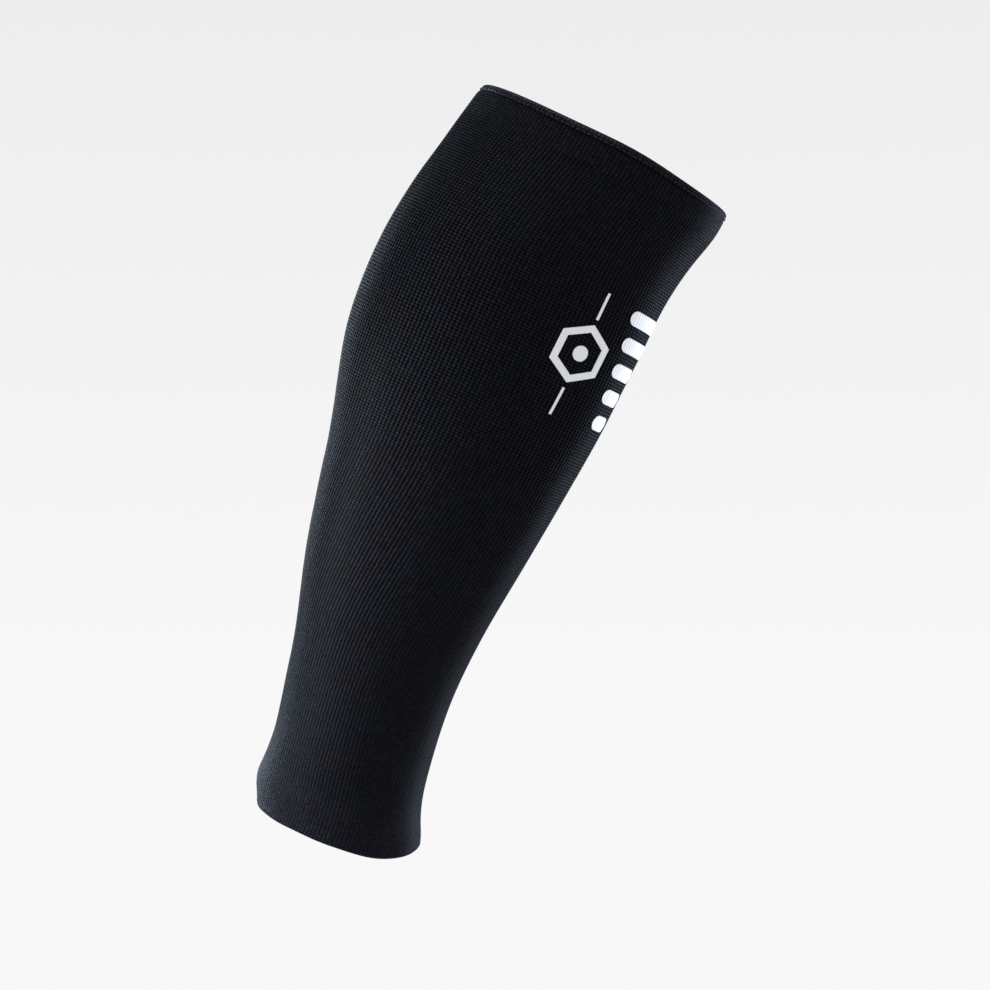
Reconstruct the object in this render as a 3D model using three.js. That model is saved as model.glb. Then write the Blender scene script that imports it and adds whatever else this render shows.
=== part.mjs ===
// A knitted calf compression sleeve, in the form that it has when it is worn.
// Millimetres. +Z runs up the leg, -Y is the shin, +Y is the calf, and X runs across the leg.
// The origin is the middle of the hollow where the calf is widest.

import * as THREE from 'three';
import { mergeVertices } from 'three/addons/utils/BufferGeometryUtils.js';
import { TessellateModifier } from 'three/addons/modifiers/TessellateModifier.js';

// Sizes of the sleeve over its outside
const sleeveLength = 320;
const calfDepth = 126;
const calfBreadth = 118;
const ankleDepth = 71;
const ankleBreadth = 62;
const calfBow = 16.6;

// How the two rims lie: their tilt in degrees, and how far the sides of the lower rim hang
const kneeTilt = 7.4;
const ankleTilt = 5;
const ankleDip = 3;

// Walls and bands
const knitWall = 2;
const hemHeight = 12;
const hemWall = 3.2;
const ribHeight = 15;
const ribWall = 2.2;
const joinGap = 0.3;

// The print on the shin: a film that stands just off the knit
const printFilm = 0.3;
const printLift = 0.3;
const printMiddle = 234;
const barCount = 5;
const barHeight = 7;
const barGap = 5.5;
const topBarWidth = 30;
const barStep = 4;
const frameReach = 14;
const frameStroke = 3.2;
const frameAcross = 31;
const dotRadius = 3.6;
const ruleWidth = 1.3;
const ruleLength = 13;
const ruleGap = 2.5;

// How finely the faces are cut
const turns = 52;
const tubeRows = 20;
const lipSteps = 4;
const arcSteps = 5;
const filmEdge = 4.5;
const filmPasses = 14;

// Sections of the leg, from the ankle rim to the knee rim.
// up: share of sleeveLength. bow: share of calfBow, towards the calf.
// swell: 0 is the ankle's depth and breadth, 1 is the calf's.
// tilt: below 0 a share of ankleTilt, above 0 a share of kneeTilt.
// narrow: how much slimmer the section is at the shin than at the back, below 0 the other way.
const sections = [
  { up: 0.00, bow: 0.03, swell: 0.06, tilt: -1.00, narrow: -0.16 },
  { up: 0.04, bow: 0.28, swell: 0.07, tilt: -0.86, narrow: -0.15 },
  { up: 0.11, bow: 0.46, swell: 0.03, tilt: -0.60, narrow: -0.11 },
  { up: 0.20, bow: 0.66, swell: 0.07, tilt: -0.34, narrow: -0.03 },
  { up: 0.30, bow: 0.82, swell: 0.24, tilt: -0.14, narrow: 0.05 },
  { up: 0.42, bow: 0.89, swell: 0.49, tilt: 0.00, narrow: 0.11 },
  { up: 0.54, bow: 0.93, swell: 0.73, tilt: 0.04, narrow: 0.14 },
  { up: 0.65, bow: 0.98, swell: 0.93, tilt: 0.14, narrow: 0.16 },
  { up: 0.75, bow: 0.94, swell: 1.00, tilt: 0.36, narrow: 0.15 },
  { up: 0.85, bow: 0.72, swell: 0.97, tilt: 0.65, narrow: 0.11 },
  { up: 0.93, bow: 0.38, swell: 0.93, tilt: 0.87, narrow: 0.06 },
  { up: 1.00, bow: 0.00, swell: 0.89, tilt: 1.00, narrow: 0.02 },
];
const columns = ['bow', 'swell', 'tilt', 'narrow'];
const dipReach = 0.2;

const legCurve = new THREE.CubicInterpolant(
  sections.map((section) => section.up),
  sections.flatMap((section) => columns.map((column) => section[column])),
  columns.length,
);

// The section at a height above the ankle rim, as sizes in millimetres
function sectionAt(height) {
  const up = height / sleeveLength;
  const [bow, swell, tilt, narrow] = legCurve.evaluate(up);
  const rimTilt = THREE.MathUtils.degToRad(tilt < 0 ? ankleTilt : kneeTilt);
  return {
    middle: bow * calfBow,
    depth: THREE.MathUtils.lerp(ankleDepth, calfDepth, swell),
    breadth: THREE.MathUtils.lerp(ankleBreadth, calfBreadth, swell),
    slope: tilt * Math.tan(rimTilt),
    dip: ankleDip * Math.max(0, 1 - up / dipReach) ** 2,
    narrow,
  };
}

// A point of the outer face. turn is 0 at the shin and half a turn at the calf.
function outerPoint(height, turn) {
  const { middle, depth, breadth, slope, dip, narrow } = sectionAt(height);
  const across = (breadth / 2) * Math.sin(turn - narrow * Math.sin(turn));
  const back = (-depth / 2) * Math.cos(turn);
  const sag = dip * Math.sin(turn) ** 2;
  return new THREE.Vector3(across, middle + back, height + slope * back - sag);
}

// A point that lies inward of the outer face by the given depth, square to it
const turnStep = 0.01;
const heightStep = 0.5;
function wallPoint(height, turn, inward) {
  const high = Math.min(height + heightStep, sleeveLength);
  const low = Math.max(height - heightStep, 0);
  const along = outerPoint(height, turn + turnStep).sub(outerPoint(height, turn - turnStep));
  const upward = outerPoint(high, turn).sub(outerPoint(low, turn));
  const outward = along.cross(upward).normalize();
  return outerPoint(height, turn).addScaledVector(outward, -inward);
}

// A closed band round the leg, from its wall's outline as a loop of heights and depths
function band(outline) {
  const positions = [];
  const index = [];
  for (let step = 0; step < turns; step += 1) {
    const turn = (step / turns) * Math.PI * 2;
    for (const { height, inward } of outline) positions.push(...wallPoint(height, turn, inward));
  }
  const count = outline.length;
  for (let step = 0; step < turns; step += 1) {
    const here = step * count;
    const next = ((step + 1) % turns) * count;
    for (let row = 0; row < count; row += 1) {
      const above = (row + 1) % count;
      index.push(here + row, next + row, next + above);
      index.push(here + row, next + above, here + above);
    }
  }
  const geometry = new THREE.BufferGeometry();
  geometry.setAttribute('position', new THREE.Float32BufferAttribute(positions, 3));
  geometry.setIndex(index);
  geometry.computeVertexNormals();
  return geometry;
}

// Evenly spaced heights at one depth in the wall
function rise(from, to, inward, rows) {
  return Array.from({ length: rows + 1 }, (_, row) => {
    return { height: THREE.MathUtils.lerp(from, to, row / rows), inward };
  });
}

// A half-round edge over a wall, from its outer face to its inner face, facing up (1) or down (-1)
function roundEdge(height, wall, facing) {
  const radius = wall / 2;
  return Array.from({ length: lipSteps + 1 }, (_, step) => {
    const angle = (step / lipSteps) * Math.PI;
    const rim = height - facing * radius;
    return { height: rim + facing * radius * Math.sin(angle), inward: radius - radius * Math.cos(angle) };
  });
}

const ribTop = ribHeight;
const tubeBottom = ribTop + joinGap;
const hemBottom = sleeveLength - hemHeight;
const tubeTop = hemBottom - joinGap;

function knitTube() {
  const outside = rise(tubeBottom, tubeTop, 0, tubeRows);
  const inside = rise(tubeTop, tubeBottom, knitWall, tubeRows);
  return band([...outside, ...inside]);
}

function kneeHem() {
  const shoulder = sleeveLength - hemWall / 2;
  const outside = rise(hemBottom, shoulder, 0, 2).slice(0, -1);
  const inside = rise(shoulder, hemBottom, hemWall, 2).slice(1);
  return band([...outside, ...roundEdge(sleeveLength, hemWall, 1), ...inside]);
}

function ankleRib() {
  const shoulder = ribWall / 2;
  const inside = rise(ribTop, shoulder, ribWall, 2).slice(0, -1);
  const outside = rise(shoulder, ribTop, 0, 2).slice(1);
  const edge = roundEdge(0, ribWall, -1).reverse();
  return band([...inside, ...edge, ...outside]);
}

// The turn that lies a given length round from the shin, measured on the outer face
function turnAt(height, across) {
  let turn = 0;
  let gone = 0;
  let last = outerPoint(height, turn);
  while (gone < Math.abs(across)) {
    const next = outerPoint(height, turn + turnStep);
    const stride = next.distanceTo(last);
    const share = Math.min(1, (Math.abs(across) - gone) / stride);
    turn += turnStep * share;
    gone += stride;
    last = next;
  }
  return turn * Math.sign(across);
}

// A flat shape, drawn in millimetres about the print's middle, laid on the sleeve as a film
function film(shape) {
  const flat = new THREE.ExtrudeGeometry(shape, {
    depth: printFilm,
    bevelEnabled: false,
    curveSegments: arcSteps,
  });
  const fine = new TessellateModifier(filmEdge, filmPasses).modify(flat);
  fine.deleteAttribute('normal');
  fine.deleteAttribute('uv');
  const geometry = mergeVertices(fine);
  const position = geometry.attributes.position;
  for (let at = 0; at < position.count; at += 1) {
    const height = printMiddle + position.getY(at);
    const turn = turnAt(height, position.getX(at));
    const laid = wallPoint(height, turn, -printLift - position.getZ(at));
    position.setXYZ(at, laid.x, laid.y, laid.z);
  }
  geometry.computeVertexNormals();
  return geometry;
}

// A bar with round ends
function barShape(across, up, width, height) {
  const radius = height / 2;
  const straight = width / 2 - radius;
  const shape = new THREE.Shape();
  shape.absarc(across + straight, up, radius, -Math.PI / 2, Math.PI / 2);
  shape.absarc(across - straight, up, radius, Math.PI / 2, Math.PI * 1.5);
  shape.closePath();
  return shape;
}

// A six-sided frame that stands on a corner
function frameShape(across, up) {
  const corners = (reach) => Array.from({ length: 6 }, (_, corner) => {
    const angle = ((corner + 0.5) / 6) * Math.PI * 2;
    return new THREE.Vector2(across + reach * Math.cos(angle), up + reach * Math.sin(angle));
  });
  const shape = new THREE.Shape(corners(frameReach));
  const strokeReach = frameStroke / Math.cos(Math.PI / 6);
  shape.holes.push(new THREE.Path(corners(frameReach - strokeReach)));
  return shape;
}

function dotShape(across, up) {
  return new THREE.Shape().absarc(across, up, dotRadius, 0, Math.PI * 2);
}

function ruleShape(across, up) {
  const left = across - ruleWidth / 2;
  const low = up - ruleLength / 2;
  const shape = new THREE.Shape();
  shape.moveTo(left, low);
  shape.lineTo(left + ruleWidth, low);
  shape.lineTo(left + ruleWidth, low + ruleLength);
  shape.lineTo(left, low + ruleLength);
  shape.closePath();
  return shape;
}

const knit = new THREE.MeshStandardMaterial({ color: 0x15171c, roughness: 0.95, metalness: 0 });
const ribKnit = new THREE.MeshStandardMaterial({ color: 0x131519, roughness: 0.95, metalness: 0 });
const hemKnit = new THREE.MeshStandardMaterial({ color: 0x101216, roughness: 0.9, metalness: 0 });
const printInk = new THREE.MeshStandardMaterial({ color: 0xdededd, roughness: 0.7, metalness: 0 });

const sleeve = new THREE.Group();
function add(name, geometry, material) {
  const mesh = new THREE.Mesh(geometry, material);
  mesh.name = name;
  sleeve.add(mesh);
}

add('knit_tube', knitTube(), knit);
add('knee_hem', kneeHem(), hemKnit);
add('ankle_rib', ankleRib(), ribKnit);

// The middle column: bars that grow shorter towards the ankle
const barPitch = barHeight + barGap;
for (let bar = 0; bar < barCount; bar += 1) {
  const up = ((barCount - 1) / 2 - bar) * barPitch;
  const shape = barShape(0, up, topBarWidth - bar * barStep, barHeight);
  add(`print_bar_${bar + 1}`, film(shape), printInk);
}

// On each side of it: a frame with a dot in it, and a fine rule above and below
const ruleUp = frameReach + ruleGap + ruleLength / 2;
for (const [side, across] of [['inner', frameAcross], ['outer', -frameAcross]]) {
  add(`print_frame_${side}`, film(frameShape(across, 0)), printInk);
  add(`print_dot_${side}`, film(dotShape(across, 0)), printInk);
  add(`print_rule_${side}_upper`, film(ruleShape(across, ruleUp)), printInk);
  add(`print_rule_${side}_lower`, film(ruleShape(across, -ruleUp)), printInk);
}

// The origin goes to the middle of the widest section
const widest = sections.reduce((most, section) => (section.swell > most.swell ? section : most));
const widestHeight = widest.up * sleeveLength;
sleeve.position.set(0, -sectionAt(widestHeight).middle, -widestHeight);

export default sleeve;
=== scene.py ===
import math

import bmesh
import bpy
import numpy as np
from mathutils import Matrix, Vector


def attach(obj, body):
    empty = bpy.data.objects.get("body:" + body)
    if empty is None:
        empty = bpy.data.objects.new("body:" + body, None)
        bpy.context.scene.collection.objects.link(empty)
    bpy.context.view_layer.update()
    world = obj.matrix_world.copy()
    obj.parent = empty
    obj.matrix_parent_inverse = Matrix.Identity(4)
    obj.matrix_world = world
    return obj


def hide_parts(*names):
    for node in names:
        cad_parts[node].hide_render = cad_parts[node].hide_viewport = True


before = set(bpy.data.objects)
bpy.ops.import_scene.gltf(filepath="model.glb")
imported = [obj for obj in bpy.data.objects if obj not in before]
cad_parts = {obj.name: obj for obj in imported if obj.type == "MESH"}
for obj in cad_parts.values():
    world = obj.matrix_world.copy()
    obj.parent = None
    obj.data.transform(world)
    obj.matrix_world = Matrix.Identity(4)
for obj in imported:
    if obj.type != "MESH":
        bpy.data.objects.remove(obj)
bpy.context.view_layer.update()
print("frame loaded,", len(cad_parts), "nodes")

mm = 0.001

# The camera stands at the outer side of the leg, a little towards the shin, and leans; angles in
# degrees, places in metres, the lens in millimetres
camera = {
    "azimuth": 293, "elevation": 2, "roll": 21.83,
    "distance": 0.9011, "aim": (0, -0.0276, -0.0776), "lens": 75, "nearest": 0.01, "farthest": 50,
}


def cameraAxes():
    azimuth, elevation, roll = (math.radians(camera[key]) for key in ("azimuth", "elevation", "roll"))
    flat = math.cos(elevation)
    back = Vector((math.sin(azimuth) * flat, -math.cos(azimuth) * flat, math.sin(elevation)))
    level = (-back).cross(Vector((0, 0, 1))).normalized()
    plumb = level.cross(-back)
    right = math.cos(roll) * level + math.sin(roll) * plumb
    above = math.cos(roll) * plumb - math.sin(roll) * level
    return right, above, back


def makeCamera():
    right, above, back = cameraAxes()
    data = bpy.data.cameras.new("camera")
    data.lens = camera["lens"]
    data.clip_start, data.clip_end = camera["nearest"], camera["farthest"]
    shot = bpy.data.objects.new("camera", data)
    shot.matrix_world = Matrix((
        (right.x, above.x, back.x, 0), (right.y, above.y, back.y, 0),
        (right.z, above.z, back.z, 0), (0, 0, 0, 1),
    ))
    shot.location = Vector(camera["aim"]) + back * camera["distance"]
    bpy.context.scene.collection.objects.link(shot)
    bpy.context.scene.camera = shot


makeCamera()
print("camera placed")

# The leg's form, as in the CAD source: sizes in millimetres, then sections from the ankle rim to the
# knee rim, then what the scene adds to it: small eases, waves of the rims and faint ripples
leg = {
    "length": 320, "calfDepth": 126, "calfBreadth": 118, "ankleDepth": 71, "ankleBreadth": 62,
    "calfBow": 16.6, "kneeTilt": 7.4, "ankleTilt": 5, "ankleDip": 3, "dipReach": 0.2, "originUp": 0.75,
    # share of the length, bow, swell, tilt, narrow
    "sections": [
        (0.00, 0.03, 0.06, -1.00, -0.16),
        (0.04, 0.28, 0.07, -0.86, -0.15),
        (0.11, 0.46, 0.03, -0.60, -0.11),
        (0.20, 0.66, 0.07, -0.34, -0.03),
        (0.30, 0.82, 0.24, -0.14, 0.05),
        (0.42, 0.89, 0.49, 0.00, 0.11),
        (0.54, 0.93, 0.73, 0.04, 0.14),
        (0.65, 0.98, 0.93, 0.14, 0.16),
        (0.75, 0.94, 1.00, 0.36, 0.15),
        (0.85, 0.72, 0.97, 0.65, 0.11),
        (0.93, 0.38, 0.93, 0.87, 0.06),
        (1.00, 0.00, 0.89, 1.00, 0.02),
    ],
    # where the cloth stands a little proud or lies closer:
    # 1 at the shin or -1 at the calf, height, reach, how far out
    "eases": [
        (1, 4, 13, 1.4), (-1, 11, 6, 1.3), (-1, 27, 10, -0.5), (1, 56, 20, 0.5), (-1, 55, 12, 0.4),
        (1, 308, 11, 1.6), (1, 280, 14, -0.5), (1, 264, 12, -0.4), (-1, 316, 8, 0.6), (-1, 290, 12, -0.6),
        (-1, 212, 22, 0.7), (-1, 160, 16, -1.1), (-1, 110, 20, 0.6),
    ],
    # how the rims wave: height, reach up the leg, degrees from the shin (outer side negative),
    # reach round, how far up
    "waves": [
        (0, 22, -31, 26, -1.95), (0, 14, 23, 19, 3.2), (0, 22, -94, 17, 0.6), (0, 22, -148, 18, -0.8),
        (320, 30, -56, 22, 1.2), (320, 30, 56, 22, 1.2),
    ],
    # faint unevenness: how deep, then its ripples: share, waves round, their lean and start,
    # height of a wave and start
    "waviness": 0.22,
    "ripples": [(0.6, 3, 19, 0.7, 13, 1.9), (0.4, 5, -11, 2.1, 23, 0.4)],
    "turnStep": 0.01, "heightStep": 0.5,  # how far apart the wall's slope is read
}

# How the knit lies: stitch sizes in millimetres at shares of the length. Going down, the wales keep
# nearly their width while the leg thins, so they run off at the back. rise: how much higher a course
# is at the back.
knitLay = {
    # share of the length, wale width, course height, lean of the wales, rise
    "rows": [
        (0.00, 1.75, 1.00, -7.0, 0.0),
        (0.05, 1.69, 1.01, -3.2, 0.8),
        (0.10, 1.68, 1.02, -1.9, 2.0),
        (0.20, 1.66, 1.08, -2.1, 5.0),
        (0.30, 1.74, 1.10, -0.7, 8.0),
        (0.40, 1.84, 1.14, 2.2, 9.0),
        (0.50, 1.90, 1.27, 4.2, 9.0),
        (0.60, 1.95, 1.42, 3.9, 7.0),
        (0.70, 1.98, 1.50, 3.3, 4.5),
        (0.80, 1.99, 1.43, 3.0, 3.0),
        (0.90, 1.88, 1.22, 0.4, 1.5),
        (1.00, 1.81, 1.14, -2.6, 0.0),
    ],
    "seamGuard": 0.2,  # a wale ends this share of its width before the back line
    "seamSink": 0.35, "seamReach": 1.6,  # how deep and how far on each side the back line sinks in
    "crest": 0.07, "valley": 0.25,  # how far a wale stands out and the valley lies in
    "flatTop": 0.10, "flank": 0.40,  # shares of a wale from its middle: the rounded top, then the fall
    "waleJitter": 0.14, "jitterEnd": 0.45, "jitterCount": 400,  # how unlike the wales are in height
    "mostWales": 104, "columnPlaces": (0.0, 0.30, 0.5, 0.70),  # wales on each side, and the points across one
    "joinGap": 0.02,  # a ring this close to a band's end keeps the shading straight up to the join
}


def smoothTable(rows):
    knots = np.array([row[0] for row in rows], float)
    values = np.array([row[1:] for row in rows], float)
    widths = np.diff(knots)
    slopes = np.diff(values, axis=0) / widths[:, None]
    bends = np.vstack([slopes[:1], (slopes[:-1] + slopes[1:]) / 2, slopes[-1:]])

    def read(up):
        up = np.atleast_1d(np.asarray(up, float))
        at = np.clip(np.searchsorted(knots, up, side="right") - 1, 0, len(widths) - 1)
        width = widths[at][..., None]
        share = (up - knots[at])[..., None] / width
        low, high = values[at], values[at + 1]
        start = (1 + 2 * share) * (1 - share) ** 2 * low + share * (1 - share) ** 2 * width * bends[at]
        end = share**2 * (3 - 2 * share) * high + share**2 * (share - 1) * width * bends[at + 1]
        return np.moveaxis(start + end, -1, 0)

    return read


readLeg = smoothTable(leg["sections"])
readKnit = smoothTable(knitLay["rows"])


def outerPoint(height, turn):
    # turn is 0 at the shin and half a turn at the calf
    up = height / leg["length"]
    bow, swell, tilt, narrow = readLeg(up)
    depth = leg["ankleDepth"] + (leg["calfDepth"] - leg["ankleDepth"]) * swell
    breadth = leg["ankleBreadth"] + (leg["calfBreadth"] - leg["ankleBreadth"]) * swell
    rimTilt = np.where(tilt < 0, leg["ankleTilt"], leg["kneeTilt"])
    slope = tilt * np.tan(np.radians(rimTilt))
    dip = leg["ankleDip"] * np.maximum(0, 1 - up / leg["dipReach"]) ** 2
    out = sum(
        far * np.exp(-(((height - middle) / reach) ** 2)) * np.maximum(0, side * np.cos(turn)) ** 2
        for side, middle, reach, far in leg["eases"]
    )
    fromShin = np.degrees(np.arctan2(np.sin(turn), np.cos(turn)))
    wave = sum(
        far * np.exp(-(((height - middle) / reach) ** 2) - ((fromShin - where) / width) ** 2)
        for middle, reach, where, width, far in leg["waves"]
    )
    across = breadth / 2 * np.sin(turn - narrow * np.sin(turn)) + out * np.sin(turn)
    back = -depth / 2 * np.cos(turn)
    level = height + slope * back - dip * np.sin(turn) ** 2 + wave
    return np.stack([across, bow * leg["calfBow"] + back - out * np.cos(turn), level], -1)


def wallFrame(height, turn):
    # a point of the outer face, with the ways round the leg, up the cloth and out of it
    height, turn = (value.astype(float) for value in np.broadcast_arrays(height, turn))
    turnStep, heightStep = leg["turnStep"], leg["heightStep"]
    around = outerPoint(height, turn + turnStep) - outerPoint(height, turn - turnStep)
    high = outerPoint(np.minimum(height + heightStep, leg["length"]), turn)
    upward = high - outerPoint(np.maximum(height - heightStep, 0), turn)
    ways = (around, upward, np.cross(around, upward))
    return outerPoint(height, turn), *(way / np.linalg.norm(way, axis=-1, keepdims=True) for way in ways)


def wallPoint(height, turn, inward):
    foot, _, _, outward = wallFrame(height, turn)
    return foot - outward * np.broadcast_to(inward, foot.shape[:-1])[..., None]


def partPlace(points):
    # from the sleeve's own measure to the part's frame, in metres
    middle = readLeg(leg["originUp"])[0][0] * leg["calfBow"]
    return (points - np.array([0, middle, leg["originUp"] * leg["length"]])) * mm


halfTurn = np.linspace(0, math.pi, 361)  # every half degree from the shin to the calf


def lengthsRound(height):
    # how far round from the shin each turn lies, on the outer face
    line = outerPoint(np.full(halfTurn.shape, height), halfTurn)
    return np.concatenate([[0], np.cumsum(np.linalg.norm(np.diff(line, axis=0), axis=1))])


def waviness(height, turn):
    # faint unevenness, as cloth has even when it is stretched
    return leg["waviness"] * sum(
        share * (np.sin(count * turn + height / lean + first) * np.sin(height / tall + second))
        for share, count, lean, first, tall, second in leg["ripples"]
    )


# How many courses lie below each height, counted every half millimetre
courseHeights = np.linspace(0, leg["length"], 641)
courseMiddles = (courseHeights[:-1] + courseHeights[1:]) / 2
courseSteps = np.diff(courseHeights) / readKnit(courseMiddles / leg["length"])[1]
courseCount = np.concatenate([[0], np.cumsum(courseSteps)])


def coursesAt(height, fromFront, half):
    # a course rises towards the back
    backRise = readKnit(height / leg["length"])[3][0]
    return np.interp(height - backRise * (fromFront / half) ** 2, courseHeights, courseCount)


dice = np.random.default_rng(7)
waleTrim = dice.uniform(1 - knitLay["waleJitter"], 1 + knitLay["waleJitter"], knitLay["jitterCount"])


def waleRidge(wale):
    # 1 on a wale's crest, 0 in the valley between two
    off = np.abs(wale - np.round(wale))
    share = np.clip((off - knitLay["flatTop"]) / knitLay["flank"], 0, 1)
    trim = waleTrim[np.round(wale).astype(int) % knitLay["jitterCount"]]
    return (1 - share * share * (3 - 2 * share)) * np.where(off < knitLay["jitterEnd"], trim, 1)


def reliefAt(wale, strength):
    drop = (knitLay["crest"] + knitLay["valley"]) * (1 - waleRidge(wale))
    return strength * (knitLay["crest"] - drop)


allWales = range(-knitLay["mostWales"], knitLay["mostWales"])
columns = np.concatenate([wale + np.array(knitLay["columnPlaces"]) for wale in allWales])
columns = np.append(columns, knitLay["mostWales"])


def layRow(height, inward, strength, facing):
    # one ring of points that follow the wales, with those that run off at the back gathered in one
    # point; the shading follows the smooth form and the back line, and the material adds the stitches
    width, _, lean, _ = (value[0] for value in readKnit(height / leg["length"]))
    lengths = lengthsRound(height)
    half = lengths[-1]
    along = columns * width + lean
    guard = knitLay["seamGuard"] * width
    inside = np.abs(along) < half - guard
    fromFront = np.clip(along, -half, half)
    fromFront = np.where(inside, fromFront, np.sign(along) * half)
    turn = np.sign(fromFront) * np.interp(np.abs(fromFront), lengths, halfTurn)
    toSeam = (half - np.abs(fromFront)) / knitLay["seamReach"]
    nearSeam = np.clip(1 - toSeam, 0, 1) ** 2
    relief = reliefAt(columns, strength) * (1 - nearSeam) - knitLay["seamSink"] * nearSeam * min(1, strength)
    relief = relief + waviness(height, turn)
    foot, around, upward, outward = wallFrame(height, turn)
    fall = 2 * knitLay["seamSink"] / knitLay["seamReach"] * np.clip(1 - toSeam, 0, 1)
    fall = fall * np.sign(fromFront) * inside
    normals = math.cos(facing) * (outward + fall[:, None] * around) + math.sin(facing) * upward
    wale = np.where(inside, columns, (fromFront - lean) / width)
    course = coursesAt(height, fromFront, half)
    points = foot + outward * (relief - inward)[:, None]
    return points, normals, inside, np.stack([wale, np.broadcast_to(course, wale.shape)], -1)


def placeMesh(name, mesh, smooth=True):
    if smooth:
        mesh.polygons.foreach_set("use_smooth", [True] * len(mesh.polygons))
    mesh.update()
    piece = bpy.data.objects.new(name, mesh)
    bpy.context.scene.collection.objects.link(piece)
    return piece


def bandMesh(name, outline):
    # outline: a closed loop of (height, inward, strength of the relief), one ring for each
    loop = np.array(outline, float)
    step = np.roll(loop, -1, axis=0) - np.roll(loop, 1, axis=0)
    facings = np.arctan2(step[:, 1], step[:, 0])
    rows = [layRow(*place, facing) for place, facing in zip(outline, facings)]
    count = len(columns)
    points, normals, heights, coords, index = [], [], [], [], []
    total = 0
    for (height, _, _), (ring, turned, inside, uv) in zip(outline, rows):
        ids = np.full(count, total)  # the point on the back line
        ids[inside] = total + 1 + np.arange(inside.sum())
        points += [ring[:1], ring[inside]]
        normals += [turned[:1], turned[inside]]
        heights.append(np.full(1 + inside.sum(), height))
        coords.append(uv)
        index.append(ids)
        total += 1 + inside.sum()
    faces, loops = [], []
    for row in range(len(rows)):
        after = (row + 1) % len(rows)
        here, there = index[row], index[after]
        corners = np.stack([here[:-1], here[1:], there[1:], there[:-1]], 1)
        uvs = np.stack([coords[row][:-1], coords[row][1:], coords[after][1:], coords[after][:-1]], 1)
        for ids, uv in zip(corners.tolist(), uvs.tolist()):
            kept = [k for k in range(4) if ids[k] != ids[k - 1]]
            if len(kept) > 2:
                faces.append([ids[k] for k in kept])
                loops.extend(uv[k] for k in kept)
    mesh = bpy.data.meshes.new(name)
    mesh.from_pydata(partPlace(np.vstack(points)).tolist(), [], faces)
    layer = mesh.uv_layers.new(name="knit")
    layer.data.foreach_set("uv", np.array(loops, np.float32).ravel())
    level = mesh.attributes.new("level", "FLOAT", "POINT")
    level.data.foreach_set("value", np.concatenate(heights).astype(np.float32))
    mesh.polygons.foreach_set("use_smooth", [True] * len(faces))
    mesh.normals_split_custom_set_from_vertices(np.vstack(normals).tolist())
    return placeMesh(name, mesh, smooth=False)


# The three bands of the sleeve, in millimetres; the reliefs are shares of the wales' full relief
knitBody = {"low": 15, "high": 308, "wall": 2, "rows": 78, "insideRows": 14, "insideRelief": 0.35}
kneeHem = {
    "low": 308, "wall": 3.2, "rows": 10, "insideRows": 5, "lipSteps": 8, "plainBelow": 4.9,
    "lineRelief": 0.45, "lipRelief": 0.3, "insideRelief": 0.3,
    # under the lip: distance below the rim, how far it sinks
    "stitchLine": [
        (4.3, 0.0), (3.7, 0.12), (3.25, 0.42), (2.9, 0.20), (2.5, -0.02), (2.1, 0.18), (1.8, 0.34), (1.6, 0.10),
    ],
}
ankleRib = {
    "high": 15, "wall": 2.2, "rows": 9, "insideRows": 4, "edgeSteps": 6,
    "relief": 1.1, "edgeRelief": 0.45, "insideRelief": 0.35,
}


def rise(low, high, inward, strength, steps):
    # rings up or down the wall, with one more close to each end
    close = knitLay["joinGap"] / abs(high - low)
    shares = [0, close] + [step / steps for step in range(1, steps)] + [1 - close, 1]
    return [(low + (high - low) * share, inward, strength) for share in shares]


def makeBody():
    size = knitBody
    outside = rise(size["low"], size["high"], 0, 1, size["rows"])
    inside = rise(size["high"], size["low"], size["wall"], size["insideRelief"], size["insideRows"])
    return bandMesh("knit_body", outside + inside)


def makeHem():
    size, top = kneeHem, leg["length"]
    radius = size["wall"] / 2
    outside = rise(size["low"], top - size["plainBelow"], 0, 1, size["rows"])
    under = [(top - below, sink, size["lineRelief"]) for below, sink in size["stitchLine"]]
    angles = [math.pi * step / size["lipSteps"] for step in range(1, size["lipSteps"] + 1)]
    lip = [
        (top - radius + radius * math.sin(a), radius - radius * math.cos(a), size["lipRelief"]) for a in angles
    ]
    inside = rise(top - radius, size["low"], size["wall"], size["insideRelief"], size["insideRows"])[1:]
    return bandMesh("turned_hem", outside + under + lip + inside)


def makeRib():
    size = ankleRib
    radius = size["wall"] / 2
    inside = rise(size["high"], radius, size["wall"], size["insideRelief"], size["insideRows"])[:-1]
    angles = [math.pi * step / size["edgeSteps"] for step in range(size["edgeSteps"] + 1)]
    edge = [
        (radius - radius * math.sin(a), radius + radius * math.cos(a), size["edgeRelief"]) for a in angles
    ]
    outside = rise(radius, size["high"], 0, size["relief"], size["rows"])[1:]
    return bandMesh("ribbed_edge", inside + edge + outside)


body = makeBody()
hem = makeHem()
rib = makeRib()
print("knit bands made:", [(piece.name, len(piece.data.polygons)) for piece in (body, hem, rib)])

# The chain of stitches that holds the turned hem, in millimetres
hemStitches = {
    "below": 2.5, "spacing": 2.6, "start": 0.2, "reach": 1.7, "lift": 0.30, "sink": 0.12, "slant": 0.42,
    "thread": 0.17, "taper": 0.25, "sides": 6, "steps": 6,
}


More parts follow.
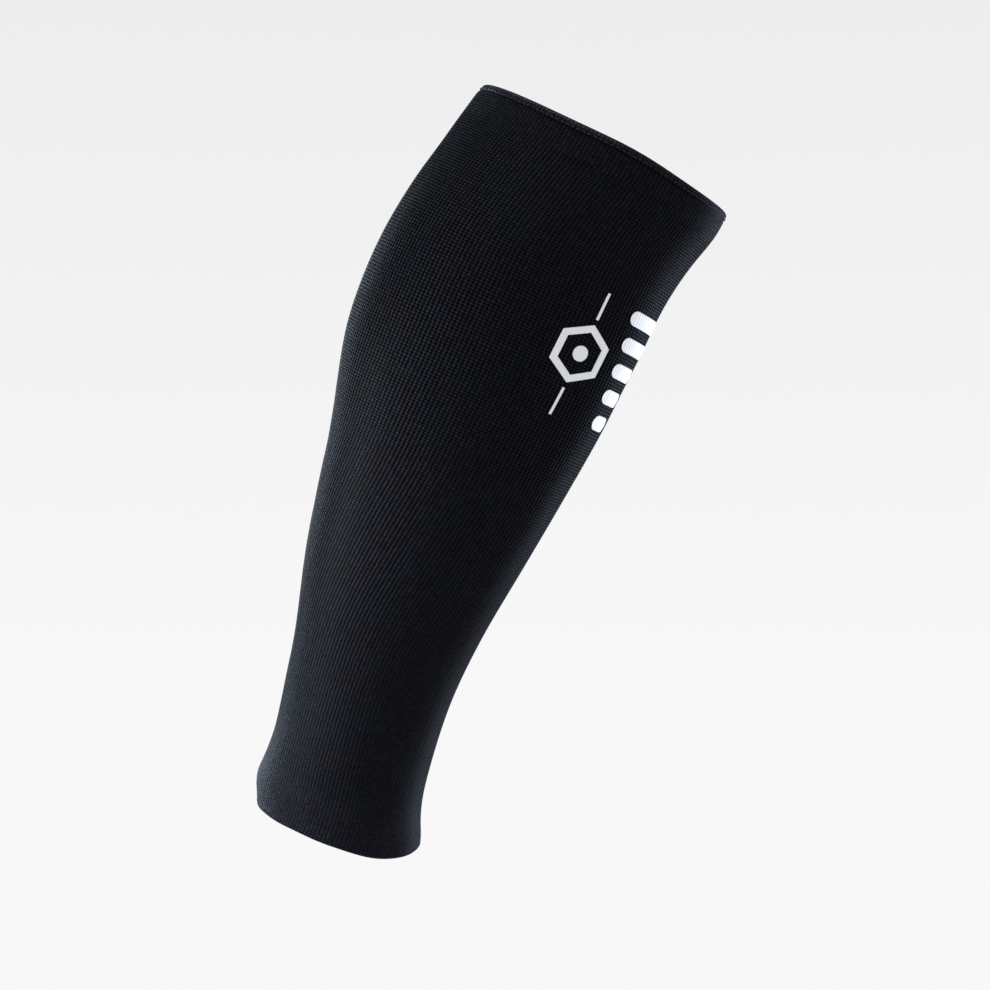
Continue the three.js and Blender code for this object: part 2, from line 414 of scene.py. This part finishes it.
def makeStitches():
    size = hemStitches
    height = leg["length"] - size["below"]
    lengths = lengthsRound(height)
    half = lengths[-1]
    count = round(2 * half / size["spacing"])
    points, faces = [], []
    ring = np.linspace(0, 2 * math.pi, size["sides"], endpoint=False)
    for stitch in range(count):
        start = -half + (stitch + size["start"]) * 2 * half / count
        share = np.linspace(0, 1, size["steps"] + 1)
        along = start + share * size["reach"]
        turn = np.sign(along) * np.interp(np.abs(along), lengths, halfTurn)
        slant = size["slant"] * (share - 0.5) * (1 if stitch % 2 else -1)
        out = size["lift"] * np.sin(share * math.pi) - size["sink"] + waviness(height, turn)
        first = sum(len(around) for around in points)
        for step in range(size["steps"] + 1):
            here = height + slant[step]
            spread = size["thread"] * (1 - size["taper"] + size["taper"] * math.sin(share[step] * math.pi))
            around = wallPoint(here + spread * np.cos(ring), turn[step], -out[step] - spread * np.sin(ring))
            points.append(around)
        sides = size["sides"]
        for step in range(size["steps"]):
            for side in range(sides):
                after = (side + 1) % sides
                low, high = first + step * sides, first + (step + 1) * sides
                faces.append([low + side, low + after, high + after, high + side])
        faces.append([first + side for side in range(sides)][::-1])
        faces.append([first + size["steps"] * sides + side for side in range(sides)])
    mesh = bpy.data.meshes.new("hem_stitches")
    mesh.from_pydata(partPlace(np.vstack(points)).tolist(), [], faces)
    return placeMesh("hem_stitches", mesh)


stitches = makeStitches()
print("hem stitches made")

# The print on the shin, in millimetres about its middle; the film follows the knit under it
printArt = {
    "middle": 234, "film": 0.16, "lift": 0.20, "follow": 0.45, "grain": 0.55,
    "barCount": 5, "barHeight": 7, "barGap": 5.5, "topBarWidth": 30, "barStep": 4,
    "frameAcross": 31, "frameReach": 14, "frameStroke": 3.2, "dotRadius": 3.6,
    "ruleWidth": 1.3, "ruleLength": 13, "ruleGap": 2.5,
    # rows of points: across a bar and round its end, round and across a dot, across a frame, and in a rule
    "barRows": 13, "barEndRows": 8, "dotSectors": 32, "dotRings": 7, "frameRings": 7, "ruleRows": (4, 24),
    "join": 1e-7,  # metres
}


def barGrid(up, width):
    radius = printArt["barHeight"] / 2
    straight = width / 2 - radius
    middle = np.linspace(-straight, straight, max(2, round(2 * straight / printArt["grain"])))
    right = straight + radius * np.sin(np.linspace(0, math.pi / 2, printArt["barEndRows"]))[1:]
    across = np.concatenate([-right[::-1], middle, right])
    past = np.maximum(np.abs(across) - straight, 0)
    reach = np.sqrt(np.maximum(radius**2 - past**2, 0))
    share = np.linspace(-1, 1, printArt["barRows"])
    return np.stack([np.repeat(across[:, None], len(share), 1), up + reach[:, None] * share], -1), False


def dotGrid(across, up):
    angle = np.linspace(0, 2 * math.pi, printArt["dotSectors"], endpoint=False)[:, None]
    reach = np.linspace(0, printArt["dotRadius"], printArt["dotRings"])[None]
    return np.stack([across + reach * np.cos(angle), up + reach * np.sin(angle)], -1), True


def frameGrid(across, up):
    # six sides, corner up
    outer = printArt["frameReach"]
    inner = outer - printArt["frameStroke"] / math.cos(math.pi / 6)
    corners = np.radians(30 + 60 * np.arange(7))
    ring = np.stack([np.cos(corners), np.sin(corners)], -1)
    steps = round(outer / printArt["grain"])
    share = np.linspace(0, 1, steps, endpoint=False)[None, :, None]
    line = (ring[:-1, None] * (1 - share) + ring[1:, None] * share).reshape(-1, 2)
    reach = np.linspace(inner, outer, printArt["frameRings"])[None, :, None]
    return line[:, None] * reach + np.array([across, up]), True


def ruleGrid(across, up):
    wideRows, tallRows = printArt["ruleRows"]
    wide = np.linspace(-0.5, 0.5, wideRows) * printArt["ruleWidth"]
    tall = np.linspace(-0.5, 0.5, tallRows) * printArt["ruleLength"]
    return np.stack(np.meshgrid(across + wide, up + tall, indexing="ij"), -1), False


def filmMesh(name, grid, closed):
    # a grid of flat points laid on the sleeve as a thin film with its own top, underside and edge
    rowCount, columnCount = grid.shape[:2]
    flatPoints = grid.reshape(-1, 2)
    turn, wale, course = (np.zeros(len(flatPoints)) for _ in range(3))
    for at, (across, up) in enumerate(flatPoints):
        height = printArt["middle"] + up
        lengths = lengthsRound(height)
        width, _, lean, _ = (value[0] for value in readKnit(height / leg["length"]))
        turn[at] = np.sign(across) * np.interp(abs(across), lengths, halfTurn)
        wale[at] = (across - lean) / width
        course[at] = coursesAt(height, across, lengths[-1])
    height = printArt["middle"] + flatPoints[:, 1]
    base = printArt["lift"] + reliefAt(wale, printArt["follow"]) + waviness(height, turn)
    top = wallPoint(height, turn, -base)
    under = wallPoint(height, turn, -base + printArt["film"])
    size = len(flatPoints)
    ids = np.arange(size).reshape(rowCount, columnCount)
    if closed:
        ids = np.vstack([ids, ids[:1]])
    quads = np.stack([ids[:-1, :-1], ids[1:, :-1], ids[1:, 1:], ids[:-1, 1:]], -1).reshape(-1, 4)
    faces = [list(quad) for quad in quads] + [list(quad[::-1] + size) for quad in quads]
    rims = [ids[:, 0], ids[::-1, -1]]
    if not closed:
        rims += [ids[0, ::-1], ids[-1, :]]
    for rim in rims:
        faces += [[a, b, b + size, a + size][::-1] for a, b in zip(rim[:-1], rim[1:])]
    mesh = bpy.data.meshes.new(name)
    faces = [[int(corner) for corner in face] for face in faces]
    mesh.from_pydata(partPlace(np.vstack([top, under])).tolist(), [], faces)
    layer = mesh.uv_layers.new(name="knit")
    both = np.tile(np.stack([wale, course], -1), (2, 1))
    corners = np.zeros(len(mesh.loops), np.int32)
    mesh.loops.foreach_get("vertex_index", corners)
    layer.data.foreach_set("uv", both[corners].astype(np.float32).ravel())
    return finishFilm(name, mesh)


def finishFilm(name, mesh):
    # points that fall together are joined, and the faces are turned outwards
    work = bmesh.new()
    work.from_mesh(mesh)
    bmesh.ops.remove_doubles(work, verts=work.verts, dist=printArt["join"])
    bmesh.ops.dissolve_degenerate(work, edges=work.edges, dist=printArt["join"])
    bmesh.ops.recalc_face_normals(work, faces=work.faces)
    work.to_mesh(mesh)
    work.free()
    return placeMesh(name, mesh)


def makePrint():
    art = printArt
    pieces = {}
    pitch = art["barHeight"] + art["barGap"]
    for bar in range(art["barCount"]):
        up = ((art["barCount"] - 1) / 2 - bar) * pitch
        pieces[f"print_bar_{bar + 1}"] = barGrid(up, art["topBarWidth"] - bar * art["barStep"])
    ruleUp = art["frameReach"] + art["ruleGap"] + art["ruleLength"] / 2
    for side, across in (("inner", art["frameAcross"]), ("outer", -art["frameAcross"])):
        pieces[f"print_frame_{side}"] = frameGrid(across, 0)
        pieces[f"print_dot_{side}"] = dotGrid(across, 0)
        pieces[f"print_rule_{side}_upper"] = ruleGrid(across, ruleUp)
        pieces[f"print_rule_{side}_lower"] = ruleGrid(across, -ruleUp)
    made = []
    for node, (grid, closed) in pieces.items():
        piece = filmMesh(node.replace("print_", "film_"), grid, closed)
        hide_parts(node)
        made.append(piece)
    return made


films = makePrint()
print("print films made:", len(films))


# Small helpers for node trees
def addNode(tree, kind, values=None, **settings):
    # values are numbers, colours or the sockets to link, by the name or place of the input
    node = tree.nodes.new(kind)
    for key, value in settings.items():
        setattr(node, key, value)
    for key, value in (values or {}).items():
        if isinstance(value, bpy.types.NodeSocket):
            tree.links.new(value, node.inputs[key])
        else:
            node.inputs[key].default_value = value
    return node


def sums(tree, operation, *values, clamp=False):
    node = addNode(tree, "ShaderNodeMath", dict(enumerate(values)), operation=operation, use_clamp=clamp)
    return node.outputs[0]


def ramp(tree, value, low, high, outLow=0.0, outHigh=1.0):
    values = {"Value": value, "From Min": low, "From Max": high, "To Min": outLow, "To Max": outHigh}
    return addNode(tree, "ShaderNodeMapRange", values, interpolation_type="SMOOTHSTEP").outputs["Result"]


def mixColour(tree, share, first, second, blend="MIX"):
    # a Mix node's colours are its inputs 6 and 7 and its output 2
    values = {0: share, 6: first, 7: second}
    return addNode(tree, "ShaderNodeMix", values, data_type="RGBA", blend_type=blend).outputs[2]


def noiseNode(tree, place, scale, detail=2.0, dimensions="3D"):
    values = {"Vector": place, "Scale": scale, "Detail": detail}
    return addNode(tree, "ShaderNodeTexNoise", values, noise_dimensions=dimensions).outputs


def bumpNode(tree, height, depth):
    values = {"Height": height, "Distance": depth, "Strength": 1.0}
    return addNode(tree, "ShaderNodeBump", values).outputs["Normal"]


def newGroup(name, inputs, outputs):
    group = bpy.data.node_groups.new(name, "ShaderNodeTree")
    for label, kind, value in inputs:
        socket = group.interface.new_socket(label, in_out="INPUT", socket_type=kind)
        if value is not None:
            socket.default_value = value
    for label, kind in outputs:
        group.interface.new_socket(label, in_out="OUTPUT", socket_type=kind)
    start = group.nodes.new("NodeGroupInput")
    end = group.nodes.new("NodeGroupOutput")
    return group, start.outputs, end.inputs


# How one stitch is formed: the shares of it, from its middle, over which the bead's fall and the painted
# shade of the two hollows set in; then how quickly the stitches wander from line
stitchForm = {"bead": (0.02, 0.5), "valley": (0.14, 0.46), "gap": (0.12, 0.46), "driftScale": 0.9}


def makeStitchGroup():
    # one stitch for each whole step of Wale and Course: a round bead of yarn with a hollow all round it, and a
    # mask of the painted shade in that hollow
    number = "NodeSocketFloat"
    tree, given, out = newGroup(
        "knitStitch",
        [("Wale", number, 0), ("Course", number, 0), ("Chevron", number, 0.15), ("Wander", number, 0.2),
         ("Valley Depth", number, 0.35), ("Gap Depth", number, 0.5),
         ("Valley Shade", number, 0.75), ("Gap Shade", number, 0.5)],
        [("Height", number), ("Hollow Shade", number), ("Random", number)],
    )
    spot = addNode(tree, "ShaderNodeCombineXYZ", {"X": given["Wale"], "Y": given["Course"]}).outputs[0]
    drift = noiseNode(tree, spot, stitchForm["driftScale"], detail=1.0, dimensions="2D")["Color"]
    drift = addNode(tree, "ShaderNodeSeparateColor", {"Color": drift}).outputs
    away = [sums(tree, "SUBTRACT", drift[axis], 0.5) for axis in (0, 1)]
    wale = sums(tree, "MULTIPLY_ADD", away[0], given["Wander"], given["Wale"])
    course = sums(tree, "MULTIPLY_ADD", away[1], given["Wander"], given["Course"])
    waleIndex = sums(tree, "ROUND", wale)
    waleOff = sums(tree, "ABSOLUTE", sums(tree, "SUBTRACT", wale, waleIndex))
    tilted = sums(tree, "MULTIPLY_ADD", waleOff, given["Chevron"], course)
    courseIndex = sums(tree, "ROUND", tilted)
    courseOff = sums(tree, "ABSOLUTE", sums(tree, "SUBTRACT", tilted, courseIndex))
    sunk = sums(tree, "MULTIPLY", ramp(tree, waleOff, *stitchForm["bead"]), given["Valley Depth"])
    sunk = sums(tree, "MULTIPLY_ADD", ramp(tree, courseOff, *stitchForm["bead"]), given["Gap Depth"], sunk)
    # painted shade: the valleys between the wales and the gaps between the courses are darkened as if they lay
    # in shade
    valley = sums(tree, "MULTIPLY", ramp(tree, waleOff, *stitchForm["valley"]), given["Valley Shade"])
    gap = ramp(tree, courseOff, *stitchForm["gap"])
    hollow = sums(tree, "MULTIPLY_ADD", gap, given["Gap Shade"], valley, clamp=True)
    spot = addNode(tree, "ShaderNodeCombineXYZ", {"X": waleIndex, "Y": courseIndex}).outputs[0]
    random = addNode(tree, "ShaderNodeTexWhiteNoise", {"Vector": spot}, noise_dimensions="2D").outputs["Value"]
    tree.links.new(sums(tree, "SUBTRACT", 1.0, sunk), out["Height"])
    tree.links.new(hollow, out["Hollow Shade"])
    tree.links.new(random, out["Random"])
    return tree


# How fine the yarn's unevenness is, in spots to the metre, and how strongly the two hues part
yarnForm = {"patchScale": 55.0, "fuzzScale": 2600.0, "mottleScale": 240.0, "mottleGain": 2.0, "hueSpread": 4.0}


def makeYarnGroup():
    # colour of the yarn, uneven from stitch to stitch and in soft patches, with painted shade in the hollows;
    # Lift scales its tone
    number, colour = "NodeSocketFloat", "NodeSocketColor"
    tree, given, out = newGroup(
        "yarnToneAndShade",
        [("Yarn", colour, (0.02, 0.021, 0.026, 1)), ("Cool", colour, (0.02, 0.021, 0.03, 1)),
         ("Deep Shade", colour, (0.002, 0.002, 0.003, 1)), ("Hollow Shade", number, 0), ("Random", number, 0.5),
         ("Uneven", number, 0.3), ("Patches", number, 0.15), ("Fibre", number, 0.5), ("Lift", number, 1.0),
         ("Mottle", number, 0.5)],
        [("Color", colour), ("Fuzz", number)],
    )
    place = addNode(tree, "ShaderNodeTexCoord").outputs["Object"]
    patch = noiseNode(tree, place, yarnForm["patchScale"])["Fac"]
    fuzz = noiseNode(tree, place, yarnForm["fuzzScale"])["Fac"]
    patchOff = sums(tree, "SUBTRACT", patch, 0.5)
    hue = sums(tree, "MULTIPLY_ADD", patchOff, yarnForm["hueSpread"], 0.5, clamp=True)
    tint = mixColour(tree, hue, given["Yarn"], given["Cool"])
    mottle = noiseNode(tree, place, yarnForm["mottleScale"], detail=1.0)["Color"]
    values = {0: mottle, "Scale": yarnForm["mottleGain"]}
    mottle = addNode(tree, "ShaderNodeVectorMath", values, operation="SCALE").outputs[0]
    mottle = mixColour(tree, given["Mottle"], (1, 1, 1, 1), mottle)
    tint = mixColour(tree, 1.0, tint, mottle, "MULTIPLY")
    tone = sums(tree, "MULTIPLY_ADD", sums(tree, "SUBTRACT", given["Random"], 0.5), given["Uneven"], 1.0)
    tone = sums(tree, "MULTIPLY_ADD", patchOff, given["Patches"], tone)
    tone = sums(tree, "MULTIPLY_ADD", sums(tree, "SUBTRACT", fuzz, 0.5), given["Fibre"], tone)
    tone = sums(tree, "MULTIPLY", tone, given["Lift"])
    grey = addNode(tree, "ShaderNodeCombineXYZ", {"X": tone, "Y": tone, "Z": tone}).outputs[0]
    shaded = mixColour(tree, 1.0, tint, grey, "MULTIPLY")
    # painted shade: in the hollows the colour goes over to the deep shade colour
    tree.links.new(mixColour(tree, given["Hollow Shade"], shaded, given["Deep Shade"]), out["Color"])
    tree.links.new(fuzz, out["Fuzz"])
    return tree


stitchGroup = makeStitchGroup()
yarnGroup = makeYarnGroup()

# What the knits are made of; colours are linear, and the deep colour is the painted shade of the hollows.
# Near its ends the waffle knit takes on the look of its neighbours.
knits = {
    "waffleKnit": {
        "Yarn": (0.0190, 0.0166, 0.0236, 1), "Cool": (0.0152, 0.0176, 0.0240, 1),
        "Deep Shade": (0.0002, 0.0002, 0.0003, 1), "Lift": 1.0,
        "Uneven": 0.45, "Patches": 0.25, "Fibre": 0.9, "Mottle": 0.26, "Chevron": 0.12, "Wander": 0.30,
        "Valley Depth": 3.40, "Gap Depth": 2.10, "Valley Shade": 0.41, "Gap Shade": 0.60,
    },
    "hemKnit": {
        "Yarn": (0.0130, 0.0112, 0.0158, 1), "Cool": (0.0104, 0.0116, 0.0160, 1),
        "Deep Shade": (0.0010, 0.0010, 0.0014, 1), "Lift": 1.0,
        "Uneven": 0.45, "Patches": 0.3, "Fibre": 1.2, "Mottle": 0.3, "Chevron": 0.10, "Wander": 0.45,
        "Valley Depth": 0.55, "Gap Depth": 0.55, "Valley Shade": 0.45, "Gap Shade": 0.40,
    },
    "ribKnit": {
        "Yarn": (0.0135, 0.0116, 0.0166, 1), "Cool": (0.0108, 0.0123, 0.0170, 1),
        "Deep Shade": (0.0012, 0.0012, 0.0016, 1), "Lift": 1.0,
        "Uneven": 0.45, "Patches": 0.3, "Fibre": 1.2, "Mottle": 0.3, "Chevron": 0.10, "Wander": 0.40,
        "Valley Depth": 0.30, "Gap Depth": 0.60, "Valley Shade": 0.22, "Gap Shade": 0.12,
    },
    # how the waffle changes up the leg: from level, to level, share of the value at each
    "fades": [
        ("Valley Depth", 40, 150, 0.25, 1.0), ("Valley Shade", 40, 150, 0.35, 1.0),
        ("Gap Depth", 60, 230, 0.85, 1.0), ("Gap Shade", 60, 230, 0.25, 1.0),
        ("Lift", 60, 160, 0.80, 1.0), ("Lift", 250, 290, 1.0, 1.15),
    ],
    # neighbour, the levels between which one takes over from the other, and its share at each
    "blends": [("hemKnit", 299, 308.5, 0.0, 1.0), ("ribKnit", 14.5, 25, 1.0, 0.0)],
    # painted light and shade on the hem, by distance below the rim in millimetres: knit, groove with painted
    # shade, stitches, lip with a painted highlight
    "hemLightAndShade": [
        (5.0, 1.0), (4.2, 0.85), (3.7, 0.42), (3.3, 0.5), (2.9, 1.2), (2.4, 1.15), (1.9, 1.3),
        (1.45, 4.5), (1.0, 6.4), (0.75, 4.6), (0.5, 1.8), (0, 1.2),
    ],
    # painted shade: the lip grows darker round the shin: how far forward that is full and begins, in metres,
    # and the share of light left; then how far below the rim it reaches, and the share of that where it is full
    "mostTone": 6.5, "lipShade": (-0.050, -0.034, 0.42), "lipDeep": 1.9, "lipFull": 0.7,
    # the depth of the stitches is in metres, and the veil is the soft gloss of loose fibre
    "depth": 0.0013, "fibreDepth": 0.16, "roughness": 0.70, "specular": 0.01,
    "sheen": 0.01, "sheenRoughness": 0.30, "sheenTint": (0.70, 0.83, 1.0, 1),
    "veil": 0.17, "veilGap": 0.90, "veilEdge": 1.6, "veilRoughness": 0.50, "veilBend": 1.2,
}
stitchInputs = ("Chevron", "Wander", "Valley Depth", "Gap Depth", "Valley Shade", "Gap Shade")
yarnInputs = ("Yarn", "Cool", "Deep Shade", "Uneven", "Patches", "Fibre", "Mottle", "Lift")


def newMaterial(name):
    material = bpy.data.materials.new(name)
    material.use_nodes = True
    tree = material.node_tree
    return material, tree, tree.nodes["Principled BSDF"]


def placeStitches(tree, size):
    # the stitch pattern, read from the knit's own wale and course numbers
    spot = addNode(tree, "ShaderNodeUVMap", uv_map="knit").outputs["UV"]
    split = addNode(tree, "ShaderNodeSeparateXYZ", {"Vector": spot}).outputs
    values = {"Wale": split["X"], "Course": split["Y"], **{key: size[key] for key in stitchInputs}}
    return addNode(tree, "ShaderNodeGroup", values, node_tree=stitchGroup)


def blendEnds(tree, size, level):
    # each value of the waffle knit, faded towards the ankle and led over to its neighbours' at both ends
    shares = [(knits[name], ramp(tree, level, *reach)) for name, *reach in knits["blends"]]
    mixed = {}
    for key in stitchInputs + yarnInputs:
        value = size[key]
        for faded, low, high, atLow, atHigh in knits["fades"]:
            if faded == key:
                value = sums(tree, "MULTIPLY", ramp(tree, level, low, high, atLow, atHigh), value)
        for neighbour, share in shares:
            if isinstance(size[key], tuple):
                value = mixColour(tree, share, value, neighbour[key])
            else:
                value = sums(tree, "MULTIPLY_ADD", share, sums(tree, "SUBTRACT", neighbour[key], value), value)
        mixed[key] = value
    return mixed


def paintHemLightAndShade(tree, level):
    # painted highlight on the lip, painted shade in the groove under the stitches and on the lip round the shin
    top, reach, most = leg["length"], knits["hemLightAndShade"][0][0], knits["mostTone"]
    share = addNode(tree, "ShaderNodeMapRange", {"Value": level, "From Min": top - reach, "From Max": top})
    lift = addNode(tree, "ShaderNodeValToRGB", {"Fac": share.outputs["Result"]})
    stops = lift.color_ramp.elements
    for at, (below, tone) in enumerate(knits["hemLightAndShade"]):
        stop = stops[at] if at < 2 else stops.new(1.0)  # a new ramp has two stops
        stop.position, stop.color = 1 - below / reach, (tone / most, tone / most, tone / most, 1)
    place = addNode(tree, "ShaderNodeTexCoord").outputs["Object"]
    forward = addNode(tree, "ShaderNodeSeparateXYZ", {"Vector": place}).outputs["Y"]
    shinEnd, start, darkest = knits["lipShade"]
    lost = ramp(tree, forward, shinEnd, start, darkest - 1, 0.0)
    lip = ramp(tree, level, top - knits["lipDeep"], top - knits["lipFull"] * knits["lipDeep"])
    shade = sums(tree, "MULTIPLY", sums(tree, "MULTIPLY_ADD", lip, lost, 1.0), most)
    return sums(tree, "MULTIPLY", lift.outputs["Color"], shade)


def makeFabric(name):
    size = knits[name]
    material, tree, shader = newMaterial(name)
    level = addNode(tree, "ShaderNodeAttribute", attribute_name="level").outputs["Fac"]
    if name == "waffleKnit":
        size = blendEnds(tree, size, level)
    pattern = placeStitches(tree, size)
    values = {key: size[key] for key in yarnInputs}
    values.update({key: pattern.outputs[key] for key in ("Hollow Shade", "Random")})
    if name == "hemKnit":
        # the hem's tone carries its painted highlight and painted shade
        values["Lift"] = paintHemLightAndShade(tree, level)
    yarn = addNode(tree, "ShaderNodeGroup", values, node_tree=yarnGroup)
    tree.links.new(yarn.outputs["Color"], shader.inputs["Base Color"])
    height = sums(tree, "MULTIPLY_ADD", yarn.outputs["Fuzz"], knits["fibreDepth"], pattern.outputs["Height"])
    tree.links.new(bumpNode(tree, height, knits["depth"]), shader.inputs["Normal"])
    # the veil lies over the yarn and thins out over the hollows
    bare = sums(tree, "MULTIPLY", pattern.outputs["Hollow Shade"], knits["veilEdge"], clamp=True)
    veil = sums(tree, "MULTIPLY_ADD", bare, -knits["veil"] * knits["veilGap"], knits["veil"])
    tree.links.new(veil, shader.inputs["Coat Weight"])
    shader.inputs["Coat Roughness"].default_value = knits["veilRoughness"]
    shader.inputs["Coat IOR"].default_value = knits["veilBend"]
    shader.inputs["Roughness"].default_value = knits["roughness"]
    shader.inputs["Specular IOR Level"].default_value = knits["specular"]
    shader.inputs["Sheen Weight"].default_value = knits["sheen"]
    shader.inputs["Sheen Roughness"].default_value = knits["sheenRoughness"]
    shader.inputs["Sheen Tint"].default_value = knits["sheenTint"]
    return material


# The transfer film of the print; its darker colour is random wear in soft patches and painted shade over the
# knit's hollows
film = {
    "light": (0.76, 0.78, 0.79, 1), "worn": (0.68, 0.70, 0.71, 1), "Chevron": 0.15, "Wander": 0.3,
    "Valley Depth": 0.5, "Gap Depth": 0.4, "Valley Shade": 0.5, "Gap Shade": 0.3,
    "depth": 0.00010, "roughness": 0.62, "specular": 0.3,
    "mottleScale": 700.0, "mottleWear": 0.6, "hollowShade": 0.5,
}


def makeFilm():
    material, tree, shader = newMaterial("transferFilm")
    pattern = placeStitches(tree, film)
    place = addNode(tree, "ShaderNodeTexCoord").outputs["Object"]
    mottle = noiseNode(tree, place, film["mottleScale"], detail=3.0)["Fac"]
    # random wear in soft patches, and painted shade over the knit's hollows
    wearAndShade = sums(tree, "MULTIPLY", mottle, film["mottleWear"])
    wearAndShade = sums(tree, "MULTIPLY_ADD", pattern.outputs["Hollow Shade"], film["hollowShade"], wearAndShade, clamp=True)
    tree.links.new(mixColour(tree, wearAndShade, film["light"], film["worn"]), shader.inputs["Base Color"])
    tree.links.new(bumpNode(tree, pattern.outputs["Height"], film["depth"]), shader.inputs["Normal"])
    shader.inputs["Roughness"].default_value = film["roughness"]
    shader.inputs["Specular IOR Level"].default_value = film["specular"]
    return material


# The sewing thread of the hem
thread = {
    "dark": (0.008, 0.008, 0.010, 1), "light": (0.020, 0.019, 0.024, 1), "roughness": 0.6, "specular": 0.25,
    "plyScale": 1800.0, "plyDepth": 0.00008,
}


def makeThread():
    material, tree, shader = newMaterial("sewingThread")
    place = addNode(tree, "ShaderNodeTexCoord").outputs["Object"]
    ply = noiseNode(tree, place, thread["plyScale"])["Fac"]
    tree.links.new(mixColour(tree, ply, thread["dark"], thread["light"]), shader.inputs["Base Color"])
    tree.links.new(bumpNode(tree, ply, thread["plyDepth"]), shader.inputs["Normal"])
    shader.inputs["Roughness"].default_value = thread["roughness"]
    shader.inputs["Specular IOR Level"].default_value = thread["specular"]
    return material


body.data.materials.append(makeFabric("waffleKnit"))
hem.data.materials.append(makeFabric("hemKnit"))
rib.data.materials.append(makeFabric("ribKnit"))
stitches.data.materials.append(makeThread())
filmMaterial = makeFilm()
for piece in films:
    piece.data.materials.append(filmMaterial)
print("materials made")

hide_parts("knit_tube")
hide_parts("knee_hem")
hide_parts("ankle_rib")
for piece in [body, hem, rib, stitches] + films:
    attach(piece, "root")

# Lights: each direction is in shares of the camera's right, the leg's up and the way back to the camera
studio = {
    "lights": [
        # name, middle that it faces, direction, distance from it, size, power, colour
        ("leftBox", (0, 0, -0.17), (-1.0, 0.05, 0.28), 0.24, (0.12, 0.16), 1.90, (0.82, 0.96, 1.0)),
        ("leftRim", (0, 0, -0.22), (-0.68, 0.22, -0.70), 0.50, (0.20, 0.40), 4.6, (0.72, 0.88, 1.0)),
        ("ankleRim", (0, 0, -0.262), (-0.85, 0.02, -0.45), 0.10, (0.05, 0.05), 0.20, (0.68, 0.86, 1.0)),
        ("rightRim", (0, 0, -0.17), (0.76, 0.18, -0.65), 0.90, (0.30, 0.60), 10.0, (0.66, 0.82, 1.0)),
    ],
    "ambient": (0.86, 0.85, 0.89),
    # the backdrop: between which heights of the view it grades, and its tone below and above
    "backdropLow": -0.094, "backdropHigh": 0.233, "paleLow": 0.9387, "paleTop": 0.8469,
    "floorDepth": 0.70, "floorRadius": 0.95, "floorRings": 6, "floorSectors": 72, "floorFade": 0.35,
    "floorTone": (0.80, 0.80, 0.80, 1), "floorRoughness": 0.9, "floorSpecular": 0.1,
}


def makeLights():
    right, _, back = cameraAxes()
    side = Vector((right.x, right.y, 0)).normalized()
    toCamera = Vector((back.x, back.y, 0)).normalized()
    for name, centre, (across, up, behind), distance, (wide, tall), power, colour in studio["lights"]:
        place = (side * across + Vector((0, 0, up)) + toCamera * behind).normalized()
        data = bpy.data.lights.new(name, "AREA")
        data.shape, data.size, data.size_y = "RECTANGLE", wide, tall
        data.energy, data.color = power, colour
        light = bpy.data.objects.new(name, data)
        light.location = Vector(centre) + place * distance
        light.rotation_euler = place.to_track_quat("Z", "Y").to_euler()
        light.visible_camera = False
        bpy.context.scene.collection.objects.link(light)


def makeWorld():
    # the camera sees a plain pale backdrop that is a little darker above; other rays meet an even,
    # dimmer light
    _, above, _ = cameraAxes()
    world = bpy.data.worlds.new("studio")
    bpy.context.scene.world = world
    world.use_nodes = True
    tree = world.node_tree
    tree.nodes.clear()
    direction = addNode(tree, "ShaderNodeTexCoord").outputs["Generated"]
    values = {0: direction, 1: tuple(above)}
    upward = addNode(tree, "ShaderNodeVectorMath", values, operation="DOT_PRODUCT").outputs["Value"]
    values = {
        "Value": upward, "From Min": studio["backdropLow"], "From Max": studio["backdropHigh"],
        "To Min": studio["paleLow"], "To Max": studio["paleTop"],
    }
    tone = addNode(tree, "ShaderNodeMapRange", values).outputs["Result"]
    seen = addNode(tree, "ShaderNodeBackground", {"Color": tone})
    lit = addNode(tree, "ShaderNodeBackground", {"Color": (*studio["ambient"], 1)})
    ray = addNode(tree, "ShaderNodeLightPath").outputs["Is Camera Ray"]
    both = addNode(tree, "ShaderNodeMixShader", {0: ray, 1: lit.outputs[0], 2: seen.outputs[0]})
    addNode(tree, "ShaderNodeOutputWorld", {"Surface": both.outputs[0]})


def makeFloor():
    # a pale disc that fades out at its rim
    rings, sectors = studio["floorRings"], studio["floorSectors"]
    points = [(0, 0, -studio["floorDepth"])]
    for ring in range(1, rings + 1):
        reach = studio["floorRadius"] * ring / rings
        for sector in range(sectors):
            angle = 2 * math.pi * sector / sectors
            points.append((reach * math.cos(angle), reach * math.sin(angle), -studio["floorDepth"]))
    faces = [[0, 1 + sector, 1 + (sector + 1) % sectors] for sector in range(sectors)]
    for ring in range(rings - 1):
        low, high = 1 + ring * sectors, 1 + (ring + 1) * sectors
        for sector in range(sectors):
            after = (sector + 1) % sectors
            faces.append([low + sector, high + sector, high + after, low + after])
    mesh = bpy.data.meshes.new("floor")
    mesh.from_pydata(points, [], faces)
    floor = placeMesh("floor", mesh, smooth=False)
    material, tree, shader = newMaterial("paleFloor")
    place = addNode(tree, "ShaderNodeTexCoord").outputs["Object"]
    values = {0: place, 1: (1.0, 1.0, 0.0)}
    flat = addNode(tree, "ShaderNodeVectorMath", values, operation="MULTIPLY").outputs[0]
    reach = addNode(tree, "ShaderNodeVectorMath", {0: flat}, operation="LENGTH").outputs["Value"]
    fade = ramp(tree, reach, studio["floorFade"] * studio["floorRadius"], studio["floorRadius"], 1.0, 0.0)
    tree.links.new(fade, shader.inputs["Alpha"])
    shader.inputs["Base Color"].default_value = studio["floorTone"]
    shader.inputs["Roughness"].default_value = studio["floorRoughness"]
    shader.inputs["Specular IOR Level"].default_value = studio["floorSpecular"]
    mesh.materials.append(material)


makeLights()
makeWorld()
makeFloor()
bpy.context.scene.view_settings.view_transform = "Standard"
bpy.context.scene.view_settings.look = "None"
print("studio lit")
